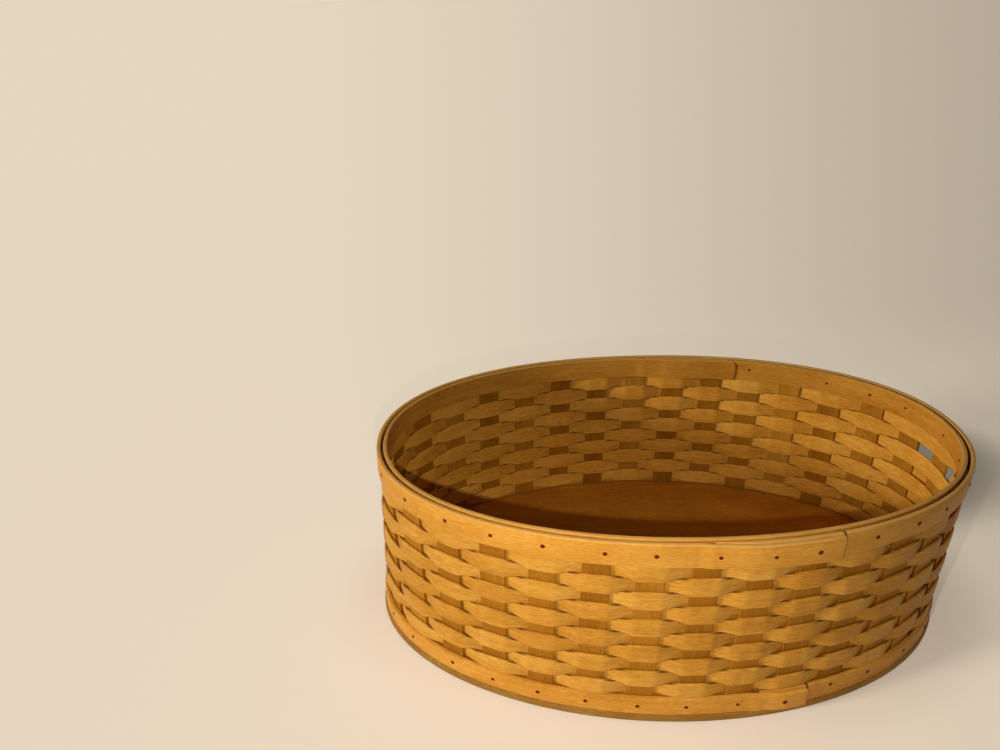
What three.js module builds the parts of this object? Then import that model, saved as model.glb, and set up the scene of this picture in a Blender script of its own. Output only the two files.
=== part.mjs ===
// Large oval splint basket with upright stakes, ten woven rows, wooden rim bands,
// a bottom band and a solid wooden floor. Millimetres, +Z up, the long way along X,
// the front of the basket towards -Y, the underside of the floor board at z = 0.
import * as THREE from 'three';

// Overall sizes.
const RIM_LENGTH = 609.6;
const RIM_WIDTH = 354.6;
const RIM_POWER = 2.12;
const BASE_LENGTH = 636.2;
const BASE_WIDTH = 363.3;
const BASE_POWER = 1.97;
const HEIGHT = 222.5;

// Wood strips.
const STAKES = 32;
const STAKE_WIDTH = 25.4;
const STAKE_THICK = 2.2;
const STAKE_SHIFT = 1.09;
const STAKE_SUNK = 3.2;
const ROWS = 10;
const ROW_GAP = 0.5;
const WEAVER_THICK = 2.0;
const WEAVER_SLACK = 0.2;
const WEAVER_BULGE = 0.8;
const WEAVER_SPREAD_OUTSIDE = 1.9;
const WEAVER_SPREAD_INSIDE = 1.4;
const SPREAD_KEPT = 0.37;

// Bands.
const BAND_THICK = 4.0;
const RIM_BAND_HEIGHT = 25.4;
const BOTTOM_BAND_HEIGHT = 22.2;
const LAP_GAP = 0.6;
const LAP_CLIMB = 14;
const BAND_TIP = 1;
const SQUARE_CORNER = 1.5;
const ROUND_CORNER = 6;

// Floor board with its rounded foot.
const FOOT_HEIGHT = 9.1;
const FOOT_LIP = 1.5;
const FOOT_ROUND = 2.6;
const FLOOR_HEIGHT = 33.5;
const FLOOR_ROUND_TALL = 7;
const FLOOR_ROUND_DEEP = 10;
const FLOOR_STEPS = 48;

// Gap left between neighbouring pieces.
const CLEAR = 0.3;

// Distances out from the middle of the stakes, along the wall's normal.
const STAKE_FACE = STAKE_THICK / 2;
const BAND_NEAR = STAKE_FACE + CLEAR;
const BAND_FAR = BAND_NEAR + BAND_THICK;
const FOOT_EDGE = BAND_FAR + FOOT_LIP;
const WEAVE_FLANK = STAKE_FACE + CLEAR + WEAVER_SLACK + WEAVER_THICK / 2;
const WEAVE_PEAK = WEAVE_FLANK + WEAVER_BULGE;

// Heights.
const RIM_BAND_LOW = HEIGHT - RIM_BAND_HEIGHT;
const BOTTOM_BAND_LOW = FOOT_HEIGHT + CLEAR;
const BOTTOM_BAND_TOP = BOTTOM_BAND_LOW + BOTTOM_BAND_HEIGHT;
const ROW_PITCH = (RIM_BAND_LOW - BOTTOM_BAND_TOP) / ROWS;

// An oval given by half its length, half its width and the power of its rounding,
// read by the share of its girth walked from the +X end, anticlockwise.
function ovalLine(halfLength, halfWidth, power) {
  const steps = 7200;
  const curve = [];
  const walked = [0];
  for (let k = 0; k <= steps; k += 1) {
    const angle = (2 * Math.PI * k) / steps;
    const c = Math.cos(angle);
    const s = Math.sin(angle);
    const x = halfLength * Math.sign(c) * Math.abs(c) ** (2 / power);
    const y = halfWidth * Math.sign(s) * Math.abs(s) ** (2 / power);
    curve.push(new THREE.Vector2(x, y));
    if (k > 0) {
      walked.push(walked[k - 1] + curve[k].distanceTo(curve[k - 1]));
    }
  }
  const girth = walked[steps];
  const at = (share) => {
    const wanted = (share - Math.floor(share)) * girth;
    let low = 0;
    let high = steps;
    while (high - low > 1) {
      const middle = (low + high) >> 1;
      if (walked[middle] <= wanted) {
        low = middle;
      } else {
        high = middle;
      }
    }
    const part = (wanted - walked[low]) / (walked[high] - walked[low]);
    return curve[low].clone().lerp(curve[high], part);
  };
  return { girth, at };
}

// The middle of the stakes runs straight from the foot line up to the rim line.
const footLine = ovalLine(BASE_LENGTH / 2 - FOOT_EDGE, BASE_WIDTH / 2 - FOOT_EDGE, BASE_POWER);
const rimLine = ovalLine(RIM_LENGTH / 2 - BAND_FAR, RIM_WIDTH / 2 - BAND_FAR, RIM_POWER);
const GIRTH = (footLine.girth + rimLine.girth) / 2;

function wallPoint(share, z) {
  return footLine.at(share).lerp(rimLine.at(share), z / HEIGHT);
}

// A point at a share of the girth, at height z, moved outward from the stakes' middle.
function place(share, z, out) {
  const here = wallPoint(share, z);
  const along = wallPoint(share + 0.002, z).sub(wallPoint(share - 0.002, z)).normalize();
  return new THREE.Vector3(here.x + along.y * out, here.y - along.x * out, z);
}

// Turns rings of points into one closed body. A loop joins its last ring to its first;
// otherwise both ends are capped.
function skin(rings, loop) {
  const count = rings[0].length;
  const points = rings.flat();
  const faces = [];
  const last = loop ? rings.length : rings.length - 1;
  for (let r = 0; r < last; r += 1) {
    const next = (r + 1) % rings.length;
    for (let k = 0; k < count; k += 1) {
      const a = r * count + k;
      const b = r * count + ((k + 1) % count);
      const c = next * count + ((k + 1) % count);
      const d = next * count + k;
      faces.push([a, b, c], [a, c, d]);
    }
  }
  if (!loop) {
    for (const [ring, flip] of [[0, true], [rings.length - 1, false]]) {
      const flat = rings[ring].map((p) => p);
      const outline = flatOutline(flat);
      for (const [a, b, c] of THREE.ShapeUtils.triangulateShape(outline.points, [])) {
        const corners = [a, b, c].map((k) => ring * count + k);
        faces.push(flip !== outline.reversed ? [corners[0], corners[2], corners[1]] : corners);
      }
    }
  }
  return solidFrom(points, faces);
}

// Lays a ring of points flat so that its cap can be cut into triangles.
function flatOutline(ring) {
  const centre = new THREE.Vector3();
  ring.forEach((p) => centre.add(p));
  centre.divideScalar(ring.length);
  const normal = new THREE.Vector3();
  for (let k = 0; k < ring.length; k += 1) {
    const a = ring[k].clone().sub(centre);
    const b = ring[(k + 1) % ring.length].clone().sub(centre);
    normal.add(a.cross(b));
  }
  normal.normalize();
  const across = ring[0].clone().sub(centre);
  across.addScaledVector(normal, -across.dot(normal)).normalize();
  const up = normal.clone().cross(across);
  const points = ring.map((p) => {
    const away = p.clone().sub(centre);
    return new THREE.Vector2(away.dot(across), away.dot(up));
  });
  return { points, reversed: THREE.ShapeUtils.area(points) < 0 };
}

// A flat-faced body from points and triangles, turned so that its faces point outward.
function solidFrom(points, faces) {
  let volume = 0;
  for (const [a, b, c] of faces) {
    volume += points[a].dot(points[b].clone().cross(points[c]));
  }
  const positions = new Float32Array(points.length * 3);
  points.forEach((p, k) => p.toArray(positions, k * 3));
  const order = faces.flatMap(([a, b, c]) => (volume < 0 ? [a, c, b] : [a, b, c]));
  const geometry = new THREE.BufferGeometry();
  geometry.setAttribute('position', new THREE.BufferAttribute(positions, 3));
  geometry.setIndex(order);
  geometry.computeVertexNormals();
  return geometry;
}

// The four corners of a strip standing in the wall.
function section(share, low, high, near, far) {
  return [
    place(share, low, near),
    place(share, low, far),
    place(share, high, far),
    place(share, high, near),
  ];
}

const stakeShare = (stake) => (STAKE_SHIFT + stake) / STAKES;

// One upright stake, curved with the wall across its width.
function stakeBody(stake) {
  const low = FOOT_HEIGHT + CLEAR;
  const high = HEIGHT - STAKE_SUNK;
  const half = STAKE_WIDTH / 2 / GIRTH;
  const middle = stakeShare(stake);
  const ringAt = (z) => [
    place(middle - half, z, STAKE_FACE),
    place(middle, z, STAKE_FACE),
    place(middle + half, z, STAKE_FACE),
    place(middle + half, z, -STAKE_FACE),
    place(middle, z, -STAKE_FACE),
    place(middle - half, z, -STAKE_FACE),
  ];
  return skin([ringAt(low), ringAt(high)], false);
}

// +1 where the weaver of a row passes outside a stake, -1 where it passes inside.
// At each end of the basket two neighbouring stakes are crossed together.
function sideOf(row, stake) {
  const turn = stake >= STAKES / 2 - 1 ? stake + 1 : stake;
  return (row + turn) % 2 === 0 ? 1 : -1;
}

function rowLow(row) {
  return BOTTOM_BAND_TOP + (ROWS - row) * ROW_PITCH + ROW_GAP / 2;
}

// How far out a weaver runs, at quarter steps between one stake and the next.
function weaverOut(row, stake, quarter) {
  const here = sideOf(row, stake % STAKES);
  const next = sideOf(row, (stake + 1) % STAKES);
  if (quarter === 0) {
    return here * WEAVE_PEAK;
  }
  if (quarter === 2) {
    return ((here + next) / 2) * WEAVE_FLANK;
  }
  return (quarter === 1 ? here : next) * WEAVE_FLANK;
}

// How far each edge of a weaver spreads past its own row where it lies on a stake.
// It narrows again where the rows change sides between two stakes.
function weaverSpread(row, stake, quarter) {
  const here = sideOf(row, stake % STAKES);
  const next = sideOf(row, (stake + 1) % STAKES);
  const side = quarter === 3 ? next : here;
  const full = side > 0 ? WEAVER_SPREAD_OUTSIDE : WEAVER_SPREAD_INSIDE;
  if (quarter === 0) {
    return full;
  }
  return quarter === 2 && here !== next ? 0 : full * SPREAD_KEPT;
}

function weaverRings(row, firstQuarter, lastQuarter) {
  const low = rowLow(row);
  const high = low + ROW_PITCH - ROW_GAP;
  const rings = [];
  for (let q = firstQuarter; q <= lastQuarter; q += 1) {
    const stake = Math.floor(q / 4);
    const out = weaverOut(row, stake, q - 4 * stake);
    const spread = weaverSpread(row, stake, q - 4 * stake);
    const bottom = row === ROWS ? low : low - spread;
    const top = row === 1 ? high : high + spread;
    const share = (STAKE_SHIFT + q / 4) / STAKES;
    rings.push(section(share, bottom, top, out - WEAVER_THICK / 2, out + WEAVER_THICK / 2));
  }
  return rings;
}

// A whole woven row, closed on itself.
function weaverLoop(row) {
  return skin(weaverRings(row, 0, 4 * STAKES - 1), true);
}

// A woven strip that starts and stops just past a stake, leaving the end slot open.
function weaverStrip(row, firstStake, lastStake) {
  return skin(weaverRings(row, 4 * firstStake - 1, 4 * lastStake + 1), false);
}

// A bent wood band that laps over its own start. It begins under the lap, where it is
// shaved thin over the length "taper", goes once round and ends on top of itself at the
// share "end"; turn is +1 anticlockwise, -1 clockwise, face is +1 on the outside of the
// stakes, -1 on the inside. Its free end has its two corners rounded by "round".
function lappedBand({ low, high, end, lap, taper, turn, face, round }) {
  const lapShare = lap / GIRTH;
  const taperShare = taper / GIRTH;
  const start = end - turn * lapShare;
  const total = 1 + lapShare;
  const step = 1 / (4 * STAKES);
  const stops = new Set([0, 1 - LAP_CLIMB / GIRTH, 1, total]);
  for (const part of [0.25, 0.5, 0.75, 1]) {
    stops.add(part * taperShare);
    stops.add(1 + part * taperShare);
  }
  const thickness = (walked) => THREE.MathUtils.lerp(
    BAND_TIP,
    BAND_THICK,
    THREE.MathUtils.smoothstep(walked, 0, taperShare),
  );
  const nearest = Math.ceil(turn * (start - STAKE_SHIFT / STAKES) / step + 1e-6);
  for (let k = nearest; ; k += 1) {
    const walked = turn * (STAKE_SHIFT / STAKES + turn * k * step - start);
    if (walked > total - 0.2 * step) {
      break;
    }
    if ([...stops].every((other) => Math.abs(other - walked) > 0.2 * step)) {
      stops.add(walked);
    }
  }
  const corner = round / GIRTH;
  stops.add(total - corner);
  stops.add(total - 0.3 * corner);
  const rings = [...stops].sort((a, b) => a - b).map((walked) => {
    const climb = THREE.MathUtils.smoothstep(walked, 1 - LAP_CLIMB / GIRTH, 1);
    const near = face * (BAND_NEAR + climb * (thickness(Math.max(0, walked - 1)) + LAP_GAP));
    const left = Math.max(0, 1 - (total - walked) / corner);
    const trim = round * (1 - Math.sqrt(Math.max(0, 1 - left * left)));
    const share = start + turn * walked;
    return section(share, low + trim, high - trim, near, near + face * thickness(walked));
  });
  return skin(rings, false);
}

// The floor board: a rounded foot under the stakes and a floor inside them whose
// upper edge is rounded over below the first woven row.
function floorBody() {
  const inside = -(STAKE_FACE + CLEAR);
  const profile = [
    [0, FOOT_EDGE - FOOT_ROUND],
    [FOOT_ROUND, FOOT_EDGE],
    [FOOT_HEIGHT - FOOT_ROUND, FOOT_EDGE],
    [FOOT_HEIGHT, FOOT_EDGE - FOOT_ROUND],
    [FOOT_HEIGHT, inside],
  ];
  for (const turn of [0, 0.3, 0.55, 0.78, 1]) {
    const angle = (turn * Math.PI) / 2;
    profile.push([
      FLOOR_HEIGHT - FLOOR_ROUND_TALL * (1 - Math.sin(angle)),
      inside - FLOOR_ROUND_DEEP * (1 - Math.cos(angle)),
    ]);
  }
  const rings = profile.map(([z, out]) => {
    const ring = [];
    for (let k = 0; k < FLOOR_STEPS; k += 1) {
      ring.push(place(k / FLOOR_STEPS, z, out));
    }
    return ring;
  });
  return skin(rings, false);
}

const bandWood = new THREE.MeshStandardMaterial({ color: 0xc98d3f, roughness: 0.5, metalness: 0 });
const weaverWood = new THREE.MeshStandardMaterial({ color: 0xc2873a, roughness: 0.55, metalness: 0 });
const stakeWood = new THREE.MeshStandardMaterial({ color: 0xb27631, roughness: 0.6, metalness: 0 });
const floorWood = new THREE.MeshStandardMaterial({ color: 0x8a5a2a, roughness: 0.5, metalness: 0 });

const basket = new THREE.Group();
basket.name = 'oval_splint_basket';

function add(name, geometry, material) {
  const mesh = new THREE.Mesh(geometry, material);
  mesh.name = name;
  basket.add(mesh);
}

add('floor_board', floorBody(), floorWood);
for (let stake = 0; stake < STAKES; stake += 1) {
  const label = String(stake + 1).padStart(2, '0');
  add(`stake_${label}`, stakeBody(stake), stakeWood);
}
for (let row = 1; row <= ROWS; row += 1) {
  const label = String(row).padStart(2, '0');
  if (row === 2) {
    add(`weaver_row_${label}_back`, weaverStrip(row, 0, STAKES / 2 - 2), weaverWood);
    add(`weaver_row_${label}_front`, weaverStrip(row, STAKES / 2, STAKES - 2), weaverWood);
  } else {
    add(`weaver_row_${label}`, weaverLoop(row), weaverWood);
  }
}
add('bottom_band', lappedBand({
  low: BOTTOM_BAND_LOW,
  high: BOTTOM_BAND_TOP,
  end: 0.827,
  lap: 46,
  taper: 26,
  turn: 1,
  face: 1,
  round: SQUARE_CORNER,
}), bandWood);
add('rim_outer_band', lappedBand({
  low: RIM_BAND_LOW,
  high: HEIGHT,
  end: 0.828,
  lap: 112,
  taper: 40,
  turn: 1,
  face: 1,
  round: SQUARE_CORNER,
}), bandWood);
add('rim_inner_band', lappedBand({
  low: RIM_BAND_LOW,
  high: HEIGHT,
  end: 0.172,
  lap: 112,
  taper: 40,
  turn: -1,
  face: -1,
  round: ROUND_CORNER,
}), bandWood);

export default basket;
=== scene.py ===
import math

import bmesh
import bpy
import numpy as np
from mathutils import Matrix, Vector


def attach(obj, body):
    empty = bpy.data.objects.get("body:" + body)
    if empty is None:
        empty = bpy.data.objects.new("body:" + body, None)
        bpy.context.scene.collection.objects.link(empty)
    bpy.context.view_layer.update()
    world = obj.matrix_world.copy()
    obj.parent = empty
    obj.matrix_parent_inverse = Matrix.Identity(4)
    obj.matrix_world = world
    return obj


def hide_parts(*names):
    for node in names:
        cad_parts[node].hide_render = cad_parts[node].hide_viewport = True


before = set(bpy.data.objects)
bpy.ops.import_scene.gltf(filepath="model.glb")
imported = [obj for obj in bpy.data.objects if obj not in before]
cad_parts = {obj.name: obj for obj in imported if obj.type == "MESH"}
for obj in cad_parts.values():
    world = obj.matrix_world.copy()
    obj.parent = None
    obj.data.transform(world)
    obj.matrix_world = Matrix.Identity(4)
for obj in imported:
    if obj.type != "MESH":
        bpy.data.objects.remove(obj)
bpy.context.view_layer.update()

# Sizes in metres, the same as the solids'.
RIM_LENGTH = 0.6096
RIM_WIDTH = 0.3546
RIM_POWER = 2.12
BASE_LENGTH = 0.6362
BASE_WIDTH = 0.3633
BASE_POWER = 1.97
HEIGHT = 0.2225
STAKES = 32
STAKE_WIDTH = 0.0254
STAKE_THICK = 0.0022
ROWS = 10
SLOT_ROW = 2
WEAVER_THICK = 0.0020
BAND_THICK = 0.0040
RIM_BAND_HEIGHT = 0.0254
BOTTOM_BAND_HEIGHT = 0.0222
FOOT_HEIGHT = 0.0091
FOOT_LIP = 0.0015
FOOT_ROUND = 0.0026
FLOOR_HEIGHT = 0.0335
FLOOR_ROUND_TALL = 0.007
FLOOR_ROUND_DEEP = 0.010
CLEAR = 0.0003

# Where stake_01 stands, in stakes from the right end, and how far the stakes' tops end below the rim.
STAKE_SHIFT = 1.09
STAKE_SUNK = 0.0032
STAKE_TOPS_VARY = 0.001

# Between these heights the stakes get painted shade toward the groove between the rim bands.
GROOVE_FROM = HEIGHT - 0.02
GROOVE_TO = HEIGHT - 0.008

# The weave: how far a strip leans over a stake, bows across its width, twists, wanders and
# widens, and how fast what varies does so around the wall.
WEAVER_REACH = 0.0032
REACH_VARIES = 0.07
REACH_PACE = 9.0
WEAVER_CROWN = 0.0004
WEAVER_TWIST = 0.035
TWIST_PACE = 7.0
WEAVER_WANDER = 0.00011
WANDER_PACE = 3.0
SPREAD_OUTSIDE = 0.0021
SPREAD_INSIDE = 0.0019
SAG_BETWEEN = 0.22
STATIONS_PER_STAKE = 20

# On its way to the next stake a strip changes sides, partly straight and partly softly: the share
# that goes straight, and where on the way each part starts and ends.
STRAIGHT_SHARE = 0.6
STRAIGHT_PART = (0.25, 0.75)
SOFT_PART = (0.16, 0.84)

# How far the two strips of the cut row reach past the middle of their last stakes, in stakes.
CUT_ROW_REACH = 0.25

# The bands' laps: the shaved start, the climb over it, and how far back an end can be thinned.
BAND_TIP = 0.001
LAP_GAP = 0.0006
LAP_CLIMB = 0.014
TIP_REACH = 0.06

# The bands' ripple. The bottom band's edge mark stops short of 1, and so its top edge gets less painted
# highlight.
BAND_RIPPLE = 0.00018
RIPPLE_PACE = 60.0
BOTTOM_BAND_HIGHLIGHT = 0.94

# This share of a band's stations lies within this reach of its end, to draw the end's corners.
END_STATIONS = 0.03
END_REACH = 0.006

# Nail heads, how much they differ, and how far they stray, in stakes and in metres.
NAIL_RADIUS = 0.0021
INNER_NAIL_RADIUS = 0.0014
NAIL_RISE = 0.0007
SMALLEST_NAIL = 0.86
LARGEST_NAIL = 1.16
NAIL_PROUD = 0.0001
NAIL_STRAYS_ALONG = (-0.08, 0.12)
NAIL_STRAYS_UP = (-0.0012, 0.0012)

# What the strips keep for their colour: their inner face, which gets painted light, and a crossing, whose
# edges get painted shade. A range runs from where to where, then from how much to how much: the inner face
# by the place in the thickness, a crossing by the distance to either side.
INNER_FACE = (-0.0006, 0.0006, 1.0, 0.0)
NEAR_CROSSING = (0.3, 0.75, 1.0, 0.0)

# What follows from these sizes.
STAKE_FACE = STAKE_THICK / 2
BAND_NEAR = STAKE_FACE + CLEAR
BAND_FAR = BAND_NEAR + BAND_THICK
FOOT_EDGE = BAND_FAR + FOOT_LIP
RIM_BAND_LOW = HEIGHT - RIM_BAND_HEIGHT
BOTTOM_BAND_LOW = FOOT_HEIGHT + CLEAR
BOTTOM_BAND_TOP = BOTTOM_BAND_LOW + BOTTOM_BAND_HEIGHT
ROW_PITCH = (RIM_BAND_LOW - BOTTOM_BAND_TOP) / ROWS
FOOT_LINE = (BASE_LENGTH / 2 - FOOT_EDGE, BASE_WIDTH / 2 - FOOT_EDGE, BASE_POWER)
RIM_LINE = (RIM_LENGTH / 2 - BAND_FAR, RIM_WIDTH / 2 - BAND_FAR, RIM_POWER)


def oval(half_length, half_width, power, steps=7200):
    """Points of an oval, and the distance walked to each of them."""
    angle = np.linspace(0, 2 * math.pi, steps + 1)
    c, s = np.cos(angle), np.sin(angle)
    x = half_length * np.sign(c) * np.abs(c) ** (2 / power)
    y = half_width * np.sign(s) * np.abs(s) ** (2 / power)
    walked = np.concatenate([[0], np.cumsum(np.hypot(np.diff(x), np.diff(y)))])
    return x, y, walked


OVALS = [oval(*FOOT_LINE), oval(*RIM_LINE)]
GIRTH = (OVALS[0][2][-1] + OVALS[1][2][-1]) / 2


def wall_point(share, z):
    """The middle of the wall at a share of the girth, between the foot's oval and the rim's."""
    mix = z / HEIGHT
    corners = []
    for x, y, walked in OVALS:
        at = np.mod(share, 1) * walked[-1]
        corners.append(np.stack([np.interp(at, walked, x), np.interp(at, walked, y)], -1))
    return corners[0] * (1 - mix) + corners[1] * mix


def place(share, z, out):
    """A place on the wall, moved straight outward."""
    share = np.asarray(share, float)
    here = wall_point(share, z)
    # The wall's direction here, from two places close by.
    step = 0.002
    along = wall_point(share + step, z) - wall_point(share - step, z)
    along = along / np.linalg.norm(along, axis=-1, keepdims=True)
    x = here[..., 0] + along[..., 1] * out
    y = here[..., 1] - along[..., 0] * out
    return np.stack([x, y, np.full_like(x, z)], -1)


# Small helpers for node trees.


def feed(tree, socket, value):
    """Links a socket or sets its value."""
    if isinstance(value, bpy.types.NodeSocket):
        tree.links.new(value, socket)
    else:
        socket.default_value = value


def put(tree, kind, settings=None, sockets=None):
    """Adds a node with its settings and inputs."""
    node = tree.nodes.new(kind)
    for name, value in (settings or {}).items():
        setattr(node, name, value)
    for name, value in (sockets or {}).items():
        feed(tree, node.inputs[name], value)
    return node


def calc(tree, operation, *values, kind="ShaderNodeMath", result="Value"):
    """Arithmetic with numbers."""
    node = put(tree, kind, {"operation": operation})
    for socket, value in zip(node.inputs, values):
        feed(tree, socket, value)
    return node.outputs[result]


def steer(tree, operation, *values, result="Vector"):
    """Arithmetic with vectors."""
    return calc(tree, operation, *values, kind="ShaderNodeVectorMath", result=result)


def scaled_by(tree, vector, scale):
    node = put(tree, "ShaderNodeVectorMath", {"operation": "SCALE"}, {"Vector": vector, "Scale": scale})
    return node.outputs["Vector"]


def blend_between(tree, share, low, high):
    return calc(tree, "MULTIPLY_ADD", share, calc(tree, "SUBTRACT", high, low), low)


def eased(tree, value, low, high, bottom, top):
    """Runs softly from bottom to top while the value runs from low to high."""
    return put(tree, "ShaderNodeMapRange", {"interpolation_type": "SMOOTHSTEP"},
               {"Value": value, "From Min": low, "From Max": high,
                "To Min": bottom, "To Max": top}).outputs[0]


SOCKETS = {float: "NodeSocketFloat", int: "NodeSocketInt"}


def new_tree(name, numbers, outputs=(("Geometry", "NodeSocketGeometry"),), takes_mesh=True):
    """A Geometry Nodes tree with an input for each named number; None stands for a material."""
    tree = bpy.data.node_groups.new(name, "GeometryNodeTree")
    if takes_mesh:
        tree.interface.new_socket("Geometry", in_out="INPUT", socket_type="NodeSocketGeometry")
    for label, value in numbers.items():
        kind = "NodeSocketMaterial" if value is None else SOCKETS[type(value)]
        socket = tree.interface.new_socket(label, in_out="INPUT", socket_type=kind)
        if value is not None:
            socket.default_value = value
    for label, kind in outputs:
        tree.interface.new_socket(label, in_out="OUTPUT", socket_type=kind)
    start = tree.nodes.new("NodeGroupInput").outputs
    end = tree.nodes.new("NodeGroupOutput").inputs
    return tree, start, end


def oval_curve(tree, half_length, half_width, power):
    """The same oval as a closed curve of nodes."""
    count = 2400
    line = put(tree, "GeometryNodeMeshLine", {}, {"Count": count, "Offset": (0.001, 0, 0)})
    index = put(tree, "GeometryNodeInputIndex").outputs[0]
    angle = calc(tree, "MULTIPLY", index, 2 * math.pi / count)
    sides = []
    for wave, half in (("COSINE", half_length), ("SINE", half_width)):
        value = calc(tree, wave, angle)
        size = calc(tree, "POWER", calc(tree, "ABSOLUTE", value), 2 / power)
        sides.append(calc(tree, "MULTIPLY", calc(tree, "MULTIPLY", size, half),
                          calc(tree, "SIGN", value)))
    spot = put(tree, "ShaderNodeCombineXYZ", {}, {"X": sides[0], "Y": sides[1]})
    bent = put(tree, "GeometryNodeSetPosition", {},
               {"Geometry": line.outputs[0], "Position": spot.outputs[0]})
    curve = put(tree, "GeometryNodeMeshToCurve", {}, {"Mesh": bent.outputs[0]})
    closed = put(tree, "GeometryNodeSetSplineCyclic", {},
                 {"Geometry": curve.outputs[0], "Cyclic": True})
    return closed.outputs[0]


def wall_tree():
    """Turns a share of the girth, a height and a distance outward into a place on the wall."""
    tree, start, end = new_tree(
        "place_on_wall", {"Share": 0.0, "Height": 0.0, "Out": 0.0},
        (("Position", "NodeSocketVector"), ("Outward", "NodeSocketVector")), False)
    around = calc(tree, "FRACT", start["Share"])
    spots, ways = [], []
    for line in (FOOT_LINE, RIM_LINE):
        sample = put(tree, "GeometryNodeSampleCurve", {"mode": "FACTOR", "use_all_curves": True},
                     {"Curves": oval_curve(tree, *line), "Factor": around})
        spots.append(sample.outputs["Position"])
        ways.append(sample.outputs["Tangent"])
    mix = calc(tree, "DIVIDE", start["Height"], HEIGHT)
    results = []
    for low, high in (spots, ways):
        rise = steer(tree, "SUBTRACT", high, low)
        results.append(steer(tree, "ADD", low, scaled_by(tree, rise, mix)))
    outward = steer(tree, "NORMALIZE", steer(tree, "CROSS_PRODUCT", results[1], (0, 0, 1)))
    flat = steer(tree, "ADD", results[0], scaled_by(tree, outward, start["Out"]))
    rise = put(tree, "ShaderNodeCombineXYZ", {}, {"Z": start["Height"]})
    feed(tree, end["Position"], steer(tree, "ADD", flat, rise.outputs[0]))
    feed(tree, end["Outward"], outward)
    return tree


WALL = wall_tree()


def on_wall(tree, share, height, out):
    """The place on the wall, and the way outward there."""
    node = put(tree, "GeometryNodeGroup", {"node_tree": WALL},
               {"Share": share, "Height": height, "Out": out})
    return node.outputs["Position"], node.outputs["Outward"]


def read(tree, name, kind="FLOAT"):
    """What the points keep under this name."""
    node = put(tree, "GeometryNodeInputNamedAttribute", {"data_type": kind}, {"Name": name})
    return node.outputs["Attribute"]


def keep(tree, geometry, name, value, kind="FLOAT", domain="POINT"):
    """Lets the points keep a value under this name."""
    node = put(tree, "GeometryNodeStoreNamedAttribute", {"data_type": kind, "domain": domain},
               {"Geometry": geometry, "Name": name, "Value": value})
    return node.outputs[0]


def straight_strip(tree, stations, thick, tall, radius, cuts=0, corners=3):
    """A straight strip. Each of its points keeps how far along it lies, and where in the section."""
    index = put(tree, "GeometryNodeInputIndex").outputs[0]
    line = put(tree, "GeometryNodeMeshLine", {}, {"Count": stations, "Offset": (0.01, 0, 0)})
    along = calc(tree, "DIVIDE", index, calc(tree, "SUBTRACT", stations, 1))
    rail = put(tree, "GeometryNodeMeshToCurve", {},
               {"Mesh": keep(tree, line.outputs[0], "along", along)})
    outline = put(tree, "GeometryNodeCurvePrimitiveQuadrilateral", {},
                  {"Width": thick, "Height": tall})
    rounded = put(tree, "GeometryNodeFilletCurve", {"mode": "POLY"},
                  {"Curve": outline.outputs[0], "Count": corners, "Radius": radius})
    section = rounded.outputs[0]
    if cuts:
        section = put(tree, "GeometryNodeSubdivideCurve", {},
                      {"Curve": section, "Cuts": cuts}).outputs[0]
    place_in = put(tree, "GeometryNodeInputPosition").outputs[0]
    section = keep(tree, section, "section", place_in, "FLOAT_VECTOR")
    return put(tree, "GeometryNodeCurveToMesh", {},
               {"Curve": rail.outputs[0], "Profile Curve": section, "Fill Caps": True})


def section_of(tree):
    """Where a point lies in its strip's section: through the thickness and up the width."""
    split = put(tree, "ShaderNodeSeparateXYZ", {}, {"Vector": read(tree, "section", "FLOAT_VECTOR")})
    return split.outputs["X"], split.outputs["Y"]


def wrap_up(tree, geometry, material, end):
    """Ends a tree with real geometry and its material."""
    whole = put(tree, "GeometryNodeRealizeInstances", {}, {"Geometry": geometry})
    done = put(tree, "GeometryNodeSetMaterial", {},
               {"Geometry": whole.outputs[0], "Material": material})
    feed(tree, end["Geometry"], done.outputs[0])


def finish_strip(tree, geometry, share, height, out, grain_along, grain_across, material, end):
    """Bends the straight strip onto the wall and lays the grain along it."""
    uv = put(tree, "ShaderNodeCombineXYZ", {}, {"X": grain_along, "Y": grain_across}).outputs[0]
    geometry = keep(tree, geometry, "UVMap", uv, "FLOAT2", "CORNER")
    spot, _ = on_wall(tree, share, height, out)
    moved = put(tree, "GeometryNodeSetPosition", {}, {"Geometry": geometry, "Position": spot})
    wrap_up(tree, moved.outputs[0], material, end)


def side_of(tree, row, stake):
    """+1 where the row passes outside this stake, -1 where it passes inside.

    Two neighbouring stakes at each end are passed on the same side, so that 32 stakes work out.
    """
    around = calc(tree, "FLOORED_MODULO", stake, STAKES)
    extra = calc(tree, "GREATER_THAN", around, STAKES / 2 - 1.5)
    odd = calc(tree, "FLOORED_MODULO", calc(tree, "ADD", row, calc(tree, "ADD", around, extra)), 2)
    return calc(tree, "MULTIPLY_ADD", odd, -2.0, 1.0)


def wobble(tree, along, row, pace, amount, shift):
    """A slow wander along a strip, between plus and minus the amount, unlike in each row and shift."""
    spot = put(tree, "ShaderNodeCombineXYZ", {},
               {"X": calc(tree, "MULTIPLY", along, pace),
                "Y": calc(tree, "MULTIPLY_ADD", row, 3.7, shift), "Z": 0.5})
    noise = put(tree, "ShaderNodeTexNoise", {"noise_dimensions": "3D"},
                {"Vector": spot.outputs[0], "Scale": 1.0, "Detail": 1.0})
    # The noise stays near 0.5, and so its middle is stretched.
    level = calc(tree, "MULTIPLY_ADD", noise.outputs[0], 2.6, -1.3)
    level = calc(tree, "MINIMUM", calc(tree, "MAXIMUM", level, -1.0), 1.0)
    return calc(tree, "MULTIPLY", level, amount)


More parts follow.
